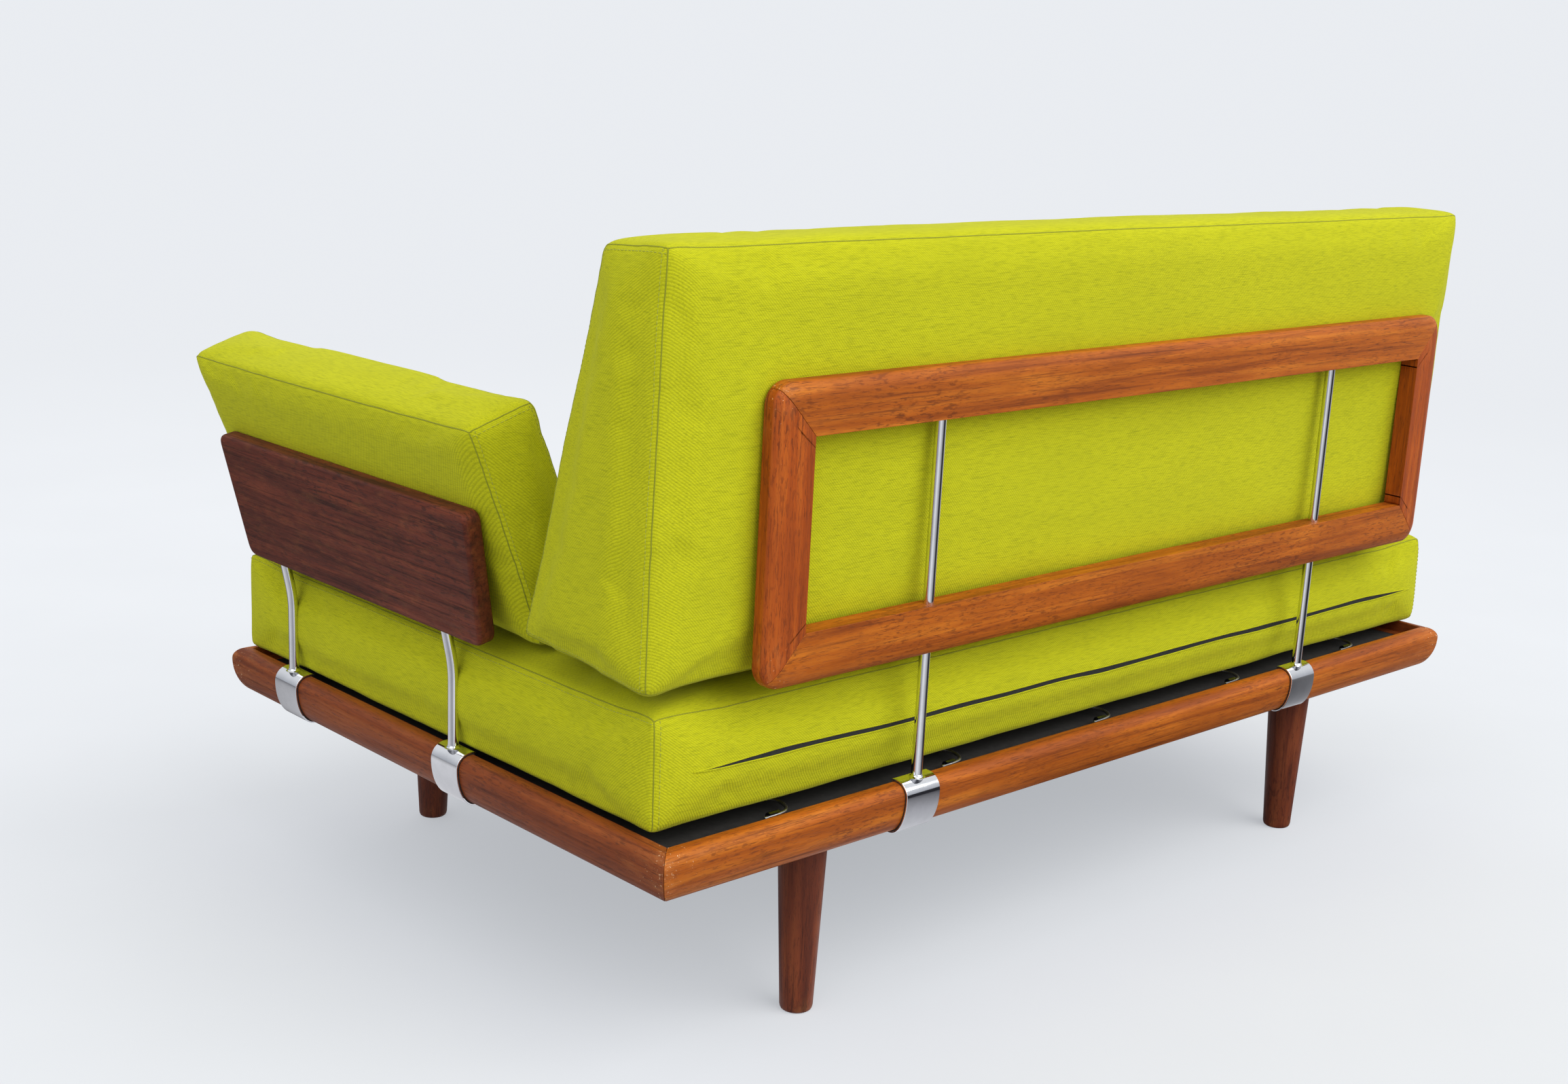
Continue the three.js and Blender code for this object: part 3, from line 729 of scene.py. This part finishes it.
class Block:
    """A foam block: eight corners, and how far each of its six faces swells at the middle.
    u runs along its length, v up and w from its front to its back, each from -1 to 1."""

    def __init__(self, corner, swell):
        self.corner = corner  # (u, v, w) to a point, for signs u, v and w
        self.swell = swell  # (axis, sign) to a vector and how flat its plateau is

    def at(self, u, v, w):
        point = Vector((0, 0, 0))
        for su in BESIDE:
            for sv in BESIDE:
                for sw in BESIDE:
                    share = (1 + su * u) * (1 + sv * v) * (1 + sw * w) / 8
                    point += share * self.corner(su, sv, sw)
        place = (u, v, w)
        for (axis, sign), (vector, flatness) in self.swell.items():
            own = max(0.0, sign * place[axis])
            others = [1 - abs(place[other]) ** flatness for other in range(3) if other != axis]
            point += vector * (own ** 4 * others[0] * others[1])
        return point


def block_object(name, block):
    """The block as an even mesh, fine enough for the cloth."""
    work = bmesh.new()
    bmesh.ops.create_cube(work, size=2)
    bmesh.ops.subdivide_edges(work, edges=work.edges[:], cuts=23, use_grid_fill=True)
    for vertex in work.verts:
        vertex.co = PLACE @ block.at(*vertex.co)
    mesh = bpy.data.meshes.new(name)
    work.to_mesh(mesh)
    work.free()
    piece = bpy.data.objects.new(name, mesh)
    bpy.context.scene.collection.objects.link(piece)
    remesh = piece.modifiers.new("remesh", "REMESH")
    remesh.mode = "VOXEL"
    remesh.voxel_size = VOXEL * MM
    return bake_modifiers(piece)


def positions(mesh):
    flat = np.empty(3 * len(mesh.vertices))
    mesh.vertices.foreach_get("co", flat)
    return flat.reshape(-1, 3)


def normals_of(mesh):
    flat = np.empty(3 * len(mesh.vertices))
    mesh.vertices.foreach_get("normal", flat)
    return flat.reshape(-1, 3)


def move_along_normals(piece, amounts):
    """Moves each point outwards by its own amount, in millimetres."""
    mesh = piece.data
    moved = positions(mesh) + normals_of(mesh) * (np.array(amounts)[:, None] * MM)
    mesh.vertices.foreach_set("co", moved.ravel())
    mesh.update()


def evaluated_positions(piece):
    found = piece.evaluated_get(bpy.context.evaluated_depsgraph_get())
    mesh = found.to_mesh()
    result = positions(mesh)
    found.to_mesh_clear()
    return result


def round_edges(piece, rounds):
    smooth = piece.modifiers.new("smooth", "SMOOTH")
    smooth.factor = 0.5
    smooth.iterations = rounds
    moved = evaluated_positions(piece)
    piece.modifiers.clear()
    piece.data.vertices.foreach_set("co", moved.ravel())


def inflate(piece, pressure, cap):
    """Cloth under pressure, with the distance that any point moves held under cap."""
    start = positions(piece.data)
    cloth = piece.modifiers.new("cloth", "CLOTH")
    cloth.settings.quality = 4
    cloth.settings.use_pressure = True
    cloth.settings.uniform_pressure_force = pressure
    cloth.settings.effector_weights.gravity = 0
    cloth.collision_settings.use_collision = False
    cloth.point_cache.frame_start = 1
    cloth.point_cache.frame_end = SIM_FRAMES
    for step in range(1, SIM_FRAMES + 1):
        bpy.context.scene.frame_set(step)
    moved = evaluated_positions(piece)
    piece.modifiers.clear()
    bpy.context.scene.frame_set(1)
    travel = moved - start
    far = np.linalg.norm(travel, axis=1, keepdims=True) + 1e-9
    limit = cap * MM
    moved = start + travel * (limit * np.tanh(far / limit) / far)
    piece.data.vertices.foreach_set("co", moved.ravel())


def subdivide(piece):
    surface = piece.modifiers.new("subdivision", "SUBSURF")
    surface.levels = 1
    surface.render_levels = 1
    bake_modifiers(piece)


def relax_noise(piece, seed, height, size):
    """Slow hollows and swellings, as hand-filled covers have."""
    shift = Vector((seed * 7.3, seed * 3.1, seed * 1.7))
    places = [Vector(point) / (size * MM) + shift for point in positions(piece.data)]
    move_along_normals(piece, [height * noise.fractal(place, 1.0, 2.0, 3) for place in places])


class Tracker:
    """Follows places of the first mesh to where the cloth has taken them."""

    def __init__(self, piece):
        self.first = positions(piece.data)
        self.tree = KDTree(len(self.first))
        for index, point in enumerate(self.first):
            self.tree.insert(point, index)
        self.tree.balance()

    def follow(self, piece, points):
        now = positions(piece.data)[: len(self.first)]
        found = []
        for point in points:
            nearest = self.tree.find_n(point, 8)
            shift = sum((Vector(now[index] - self.first[index]) for _, index, _ in nearest), Vector())
            found.append(Vector(point) + shift / len(nearest))
        return found


def surface_of(piece):
    work = bmesh.new()
    work.from_mesh(piece.data)
    tree = BVHTree.FromBMesh(work)
    work.free()
    return tree


def on_surface(tree, points):
    """The nearest places on a surface, with its normals there."""
    return [tree.find_nearest(point)[:2] for point in points]


def press_seams(piece, paths, depth, width):
    """Pulls the cloth in along each path."""
    spots = [point for path in paths for point in path]
    tree = KDTree(len(spots))
    for index, point in enumerate(spots):
        tree.insert(point, index)
    tree.balance()
    amounts = []
    for place in positions(piece.data):
        spot, _, far = tree.find(place)
        pull = math.exp(-((far / (width * MM)) ** 2))
        pucker = 1 + 0.35 * noise.noise(spot * 60)
        amounts.append(-depth * pull * pucker)
    move_along_normals(piece, amounts)


def even_path(points, spacing):
    """The same path with points at even distances."""
    ends = np.array([list(point) for point in points])
    steps = np.linalg.norm(np.diff(ends, axis=0), axis=1)
    marks = np.concatenate([[0], np.cumsum(steps)])
    count = max(2, int(marks[-1] / (spacing * MM)))
    wanted = np.linspace(0, marks[-1], count)
    return [Vector([np.interp(mark, marks, ends[:, axis]) for axis in range(3)]) for mark in wanted]


def seam_tube(tree, path, radius):
    """Points and faces of the welt of folded cloth that lies in a seam."""
    placed = on_surface(tree, path)
    line = [point - normal * (radius * 0.35 * MM) for point, normal in placed]
    return tube_rings(line, radius * MM, 8)


def stitch_rings(centre, ahead, normal, length, radius):
    """One stitch: a short thread that dips into the cloth at both ends."""
    path = []
    for share, lift in ((-0.5, -0.6), (-0.3, 0.25), (0, 0.5), (0.3, 0.25), (0.5, -0.6)):
        path.append(centre + ahead * (share * length * MM) + normal * (lift * radius * MM))
    return tube_rings(path, radius * MM, 6)


def joined(name, bodies):
    """One object from several lists of rings."""
    points, faces = [], []
    for rings in bodies:
        more_points, more_faces = loft(rings, len(points))
        points += more_points
        faces += more_faces
    piece = new_object(name, points, faces, Matrix.Identity(4))
    piece.data.shade_smooth()
    return piece


def stitches(tree, path, aside, spacing=4.6, length=3.2, radius=0.42):
    """Rings of the topstitching that runs beside a seam, on the side that aside points to."""
    found = []
    line = even_path(path, spacing)
    for index in range(1, len(line) - 1):
        ahead = (line[index + 1] - line[index - 1]).normalized()
        spot = line[index] + (aside - ahead * aside.dot(ahead)).normalized() * (7 * MM)
        centre, normal = tree.find_nearest(spot)[:2]
        found.append(stitch_rings(centre, ahead, normal, length, radius))
    return found


SEAM_STEPS = 60  # points along a seam before it is fitted to the cloth
WELT_RADIUS = 0.75


def make_cushion(node, body, block, seams, material, rounds, pressure, cap, seed, ripple):
    """A cushion, its seams and its topstitching. A seam is (u, v, w) ends and the side of its
    topstitching, or None where it has none."""
    piece = block_object("cloth_" + node, block)
    tracker = Tracker(piece)
    round_edges(piece, rounds)
    inflate(piece, pressure, cap)
    subdivide(piece)
    relax_noise(piece, seed, ripple, 130)
    paths = []
    for start, end, _ in seams:
        line = []
        for index in range(SEAM_STEPS + 1):
            share = index / SEAM_STEPS
            spot = [a + (b - a) * share for a, b in zip(start, end)]
            line.append(PLACE @ block.at(*spot))
        paths.append(even_path(tracker.follow(piece, line), 3))
    press_seams(piece, paths, 1.5, 2.6)
    piece.data.shade_smooth()
    tree = surface_of(piece)
    welts = joined("seams_" + node, [seam_tube(tree, path, WELT_RADIUS) for path in paths])
    threads = []
    for path, (_, _, aside) in zip(paths, seams):
        if aside is not None:
            threads += stitches(tree, path, Vector(aside))
    dress(piece, material, body)
    dress(welts, SEAM, body)
    if threads:
        dress(joined("stitches_" + node, threads), THREAD, body)
    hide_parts(node)
    return piece, tree


def edges_of_end(u, inward):
    """The four seams round one end panel, topstitched on the panel."""
    ring = [(-1, -1), (1, -1), (1, 1), (-1, 1)]
    seams = []
    for index, (v, w) in enumerate(ring):
        next_v, next_w = ring[(index + 1) % 4]
        middle = Vector(((v + next_v) / 2, (w + next_w) / 2))
        seams.append(((u, v, w), (u, next_v, next_w), inward(-middle.x, -middle.y)))
    return seams


def long_edges():
    return [((-1, v, w), (1, v, w), None) for v in BESIDE for w in BESIDE]


MATTRESS = dict(x=(-650, 624), y=(-389, 356), low=233, high=347)
BACK_CUSHION = dict(x=(-611, 647), rear_low=(365, 366), rear_high=(382, 770), front_low=(171, 382),
                    front_high=(288, 765))
ARM_CUSHION = dict(y=(-389, 160), outer_low=(602, 356), outer_high=(687, 580), inner_low=(517, 372),
                   inner_high=(609, 606))
CROWNED, FLAT = 2.6, 8  # how far the middle of a face stays level towards its edges


def make_mattress():
    def corner(u, v, w):
        x = MATTRESS["x"][(u + 1) // 2]
        y = MATTRESS["y"][(w + 1) // 2]
        return Vector((x, y, MATTRESS["high"] if v > 0 else MATTRESS["low"]))

    swell = {
        (1, 1): (Vector((0, 0, 20)), CROWNED),
        (1, -1): (Vector((0, 0, 9)), FLAT),
        (0, 1): (Vector((1.5, 0, 0)), CROWNED),
        (0, -1): (Vector((-2, 0, 0)), CROWNED),
        (2, 1): (Vector((0, 1.5, 0)), CROWNED),
        (2, -1): (Vector((0, -2, 0)), CROWNED),
    }
    block = Block(corner, swell)
    seams = [((-1, v, w), (1, v, w), None) for v in BESIDE for w in BESIDE]
    seams += [((u, v, -1), (u, v, 1), (0, 0, -1) if v > 0 else None) for u in BESIDE for v in BESIDE]
    seams += [((u, -1, w), (u, 1, w), (-u, 0, 0) if w > 0 else None) for u in BESIDE for w in BESIDE]
    _, tree = make_cushion("seat_mattress", "mattress", block, seams, LENGTH_CLOTH, 18, 2.5, 5, 1, 1.2)
    make_zip(tree)


ZIP_SLIT = dict(x=(-615, 580), z=(284, 291), height=6.2)


def make_zip(tree):
    """The slit in the rear border, whose dark tape shows between the two edges of the cloth."""
    steps = 160
    upper, lower = [], []
    for index in range(steps + 1):
        share = index / steps
        x = ZIP_SLIT["x"][0] + (ZIP_SLIT["x"][1] - ZIP_SLIT["x"][0]) * share
        z = ZIP_SLIT["z"][0] + (ZIP_SLIT["z"][1] - ZIP_SLIT["z"][0]) * share
        z += 2.4 * noise.noise(Vector((x / 110, 4.5, 0)))
        half = ZIP_SLIT["height"] / 2 * min(1.0, 2.6 * math.sin(math.pi * share) ** 0.7)
        half *= 1 + 0.18 * noise.noise(Vector((x / 60, 1.5, 0)))
        for found, height in ((upper, z + half), (lower, z - half)):
            point, normal = tree.ray_cast(PLACE @ Vector((x, DEPTH / 2, height)), Vector((0, -1, 0)))[:2]
            found.append(point + normal * (0.3 * MM))
    points = upper + lower
    faces = [(i, i + 1, i + steps + 2, i + steps + 1) for i in range(steps)]
    tape = new_object("zip_tape", points, faces, Matrix.Identity(4))
    lips = joined("zip_lips", [tube_rings(line, 0.8 * MM, 8) for line in (upper, lower)])
    dress(tape, ZIP, "mattress")
    dress(lips, LENGTH_CLOTH, "mattress")


def leaning_corner(shape, lengthwise, across):
    """Corners of a block whose section is the same all along its length."""
    def corner(u, v, w):
        side = across[(w + 1) // 2]
        offset, height = shape[f"{side}_{'high' if v > 0 else 'low'}"]
        along_it = shape[lengthwise][(u + 1) // 2]
        if lengthwise == "x":
            return Vector((along_it, offset, height))
        return Vector((offset, along_it, height))
    return corner


def make_back_cushion():
    swell = {
        (1, 1): (Vector((0, 0, 6)), CROWNED),
        (1, -1): (Vector((0, -2, 2)), CROWNED),
        (0, 1): (Vector((2, 0, 0)), CROWNED),
        (0, -1): (Vector((-2, 0, 0)), CROWNED),
        (2, -1): (Vector((0, -5, 2)), CROWNED),
    }
    block = Block(leaning_corner(BACK_CUSHION, "x", ("front", "rear")), swell)
    seams = long_edges()
    for u in BESIDE:
        seams += edges_of_end(u, lambda v, w: (0, w, v))
    make_cushion("back_cushion", "back_cushion", block, seams, LENGTH_CLOTH, 28, 3, 5, 2, 1.2)


def make_arm_cushion():
    swell = {
        (1, 1): (Vector((0, 0, 6)), CROWNED),
        (1, -1): (Vector((0, 0, -2)), CROWNED),
        (0, 1): (Vector((0, 2, 0)), CROWNED),
        (0, -1): (Vector((0, -2, 0)), CROWNED),
        (2, -1): (Vector((-4, 0, 1.5)), CROWNED),
    }
    block = Block(leaning_corner(ARM_CUSHION, "y", ("inner", "outer")), swell)
    seams = long_edges()
    for u in BESIDE:
        seams += edges_of_end(u, lambda v, w: (w, 0, v))
    make_cushion("arm_cushion", "arm_cushion", block, seams, DEPTH_CLOTH, 24, 3, 4, 3, 1.0)


# ---------------------------------------------------------------- camera, light and floor

CAMERA = dict(place=(1689.4, 1666.0, 913.6), yaw=0.7464, pitch=0.2334, roll=0.0390, lens=46.47)


def make_camera():
    yaw, pitch, roll = CAMERA["yaw"], CAMERA["pitch"], CAMERA["roll"]
    ahead = Vector((-math.sin(yaw) * math.cos(pitch), -math.cos(yaw) * math.cos(pitch), -math.sin(pitch)))
    level = ahead.cross(Vector((0, 0, 1))).normalized()
    upright = level.cross(ahead)
    right = level * math.cos(roll) + upright * math.sin(roll)
    up = upright * math.cos(roll) - level * math.sin(roll)
    turn = Matrix((right, up, -ahead)).transposed().to_4x4()
    camera = bpy.data.objects.new("camera", bpy.data.cameras.new("camera"))
    camera.data.lens = CAMERA["lens"]
    camera.data.sensor_width = 36
    camera.data.clip_end = 100
    camera.matrix_world = Matrix.Translation(PLACE @ Vector(CAMERA["place"])) @ turn
    bpy.context.scene.collection.objects.link(camera)
    bpy.context.scene.camera = camera


def soft_sun(name, come_from, power, spread, colour):
    """Even light from one side of the room; a wide spread gives soft shadows."""
    light = bpy.data.lights.new(name, "SUN")
    light.energy = power
    light.angle = math.radians(spread)
    light.color = colour
    lamp = bpy.data.objects.new(name, light)
    lamp.rotation_euler = Vector(come_from).to_track_quat("Z", "Y").to_euler()
    bpy.context.scene.collection.objects.link(lamp)


BACKDROP = (0.82, 0.843, 0.88, 1)


def make_world():
    """A soft room: bright above and at the sides, dim behind the camera, with a pale backdrop."""
    world = bpy.data.worlds.new("room")
    bpy.context.scene.world = world
    world.use_nodes = True
    tree = world.node_tree
    tree.nodes.clear()
    outward = add_node(tree, "TexCoord").outputs["Generated"]
    height = add_node(tree, "SeparateXYZ", {0: outward}).outputs["Z"]
    room = ramp(tree, height, [(0.0, (0.5, 0.52, 0.57)), (0.5, (0.9, 0.92, 0.96)), (1.0, (1.0, 1.0, 1.0))])
    to_dark = add_node(tree, "VectorMath", {0: outward, 1: (0.68, 0.72, 0.1)}, operation="DOT_PRODUCT")
    dark = between(tree, to_dark.outputs["Value"], 0.86, 0.97, 0.0, 0.85)
    room = mix(tree, dark, room, (0.08, 0.08, 0.1))
    light = add_node(tree, "Background", {"Color": room, "Strength": 0.84})
    backdrop = add_node(tree, "Background", {"Color": BACKDROP, "Strength": 1.0})
    seen = add_node(tree, "LightPath").outputs["Is Camera Ray"]
    both = add_node(tree, "MixShader", {0: seen, 1: light.outputs[0], 2: backdrop.outputs[0]})
    add_node(tree, "OutputWorld", {"Surface": both.outputs[0]})


# painted reflections for glossy surfaces: the colour they see of the floor, by the share of a turn round the
# object
PAINTED_REFLECTION_STRIPS = [
    (0.0, (0.5, 0.5, 0.52)),
    (0.33, (0.06, 0.06, 0.07)),
    (0.42, (0.7, 0.7, 0.73)),
    (0.56, (0.3, 0.3, 0.33)),
    (0.64, (0.85, 0.86, 0.9)),
    (0.74, (0.4, 0.4, 0.43)),
    (0.8, (0.02, 0.02, 0.025)),
    (0.88, (0.03, 0.03, 0.035)),
    (0.95, (0.6, 0.6, 0.63)),
]
FLOOR_SIZE = 40  # metres from the middle to each side
FLOOR_GLOW = 0.44  # light that the floor adds for the camera alone
FLOOR_FADE = (1.2, 4.5)  # metres from the object over which the floor turns into the backdrop


def make_floor():
    """A pale floor that glows a little, so that shadows stay light. Metal sees painted reflections in it:
    dark and light strips round the object, standing in for the dark screens that a studio sets round
    polished things."""
    mesh = bpy.data.meshes.new("floor")
    corners = [(u * FLOOR_SIZE, v * FLOOR_SIZE, 0) for u, v in ((-1, -1), (1, -1), (1, 1), (-1, 1))]
    mesh.from_pydata(corners, [], [(0, 1, 2, 3)])
    floor = bpy.data.objects.new("floor", mesh)
    bpy.context.scene.collection.objects.link(floor)
    material, tree, shader = start_material("paper_backdrop")
    grain = noise_at(tree, (3, 3, 3), 1.0, 3, 0.5)
    paper = ramp(tree, grain, [(0.2, (0.36, 0.364, 0.37)), (0.8, (0.38, 0.384, 0.39))])
    tree.links.new(paper, shader.inputs["Base Color"])
    shader.inputs["Roughness"].default_value = 1.0
    shader.inputs["Specular IOR Level"].default_value = 0.0
    rays = add_node(tree, "LightPath").outputs
    shader.inputs["Emission Color"].default_value = (0.9, 0.94, 1.0, 1)
    glow = maths(tree, "MULTIPLY", rays["Is Camera Ray"], FLOOR_GLOW)
    tree.links.new(glow, shader.inputs["Emission Strength"])
    place = add_node(tree, "TexCoord").outputs["Object"]
    away = add_node(tree, "VectorMath", {0: place}, operation="LENGTH").outputs["Value"]
    far = add_node(tree, "Emission", {"Color": BACKDROP})
    fade = between(tree, away, *FLOOR_FADE)
    seen = add_node(tree, "MixShader", {0: fade, 1: shader.outputs[0], 2: far.outputs[0]})
    azimuth = add_node(tree, "TexGradient", {"Vector": place}, gradient_type="RADIAL").outputs["Fac"]
    # painted reflections: an emission that only glossy rays see
    flags = add_node(tree, "Emission", {"Color": ramp(tree, azimuth, PAINTED_REFLECTION_STRIPS)})
    both = add_node(tree, "MixShader", {0: rays["Is Glossy Ray"], 1: seen.outputs[0], 2: flags.outputs[0]})
    tree.links.new(both.outputs[0], tree.nodes["Material Output"].inputs["Surface"])
    floor.data.materials.append(material)


def make_lights():
    soft_sun("key", (-0.3, 1.0, 0.85), 1.95, 62, (1.0, 0.995, 0.97))
    soft_sun("side", (1.0, 0.35, 0.8), 0.75, 60, (0.96, 0.98, 1.0))


# ---------------------------------------------------------------- the scene

def clear_startup():
    """Removes what a new Blender file holds."""
    for name in ("Cube", "Light", "Camera"):
        if name in bpy.data.objects:
            bpy.data.objects.remove(bpy.data.objects[name])


clear_startup()
make_camera()
make_rails()
make_understructure()
make_backrest()
make_arm_board()
make_mattress()
make_back_cushion()
make_arm_cushion()
make_world()
make_floor()
make_lights()
bpy.context.scene.view_settings.view_transform = "Standard"
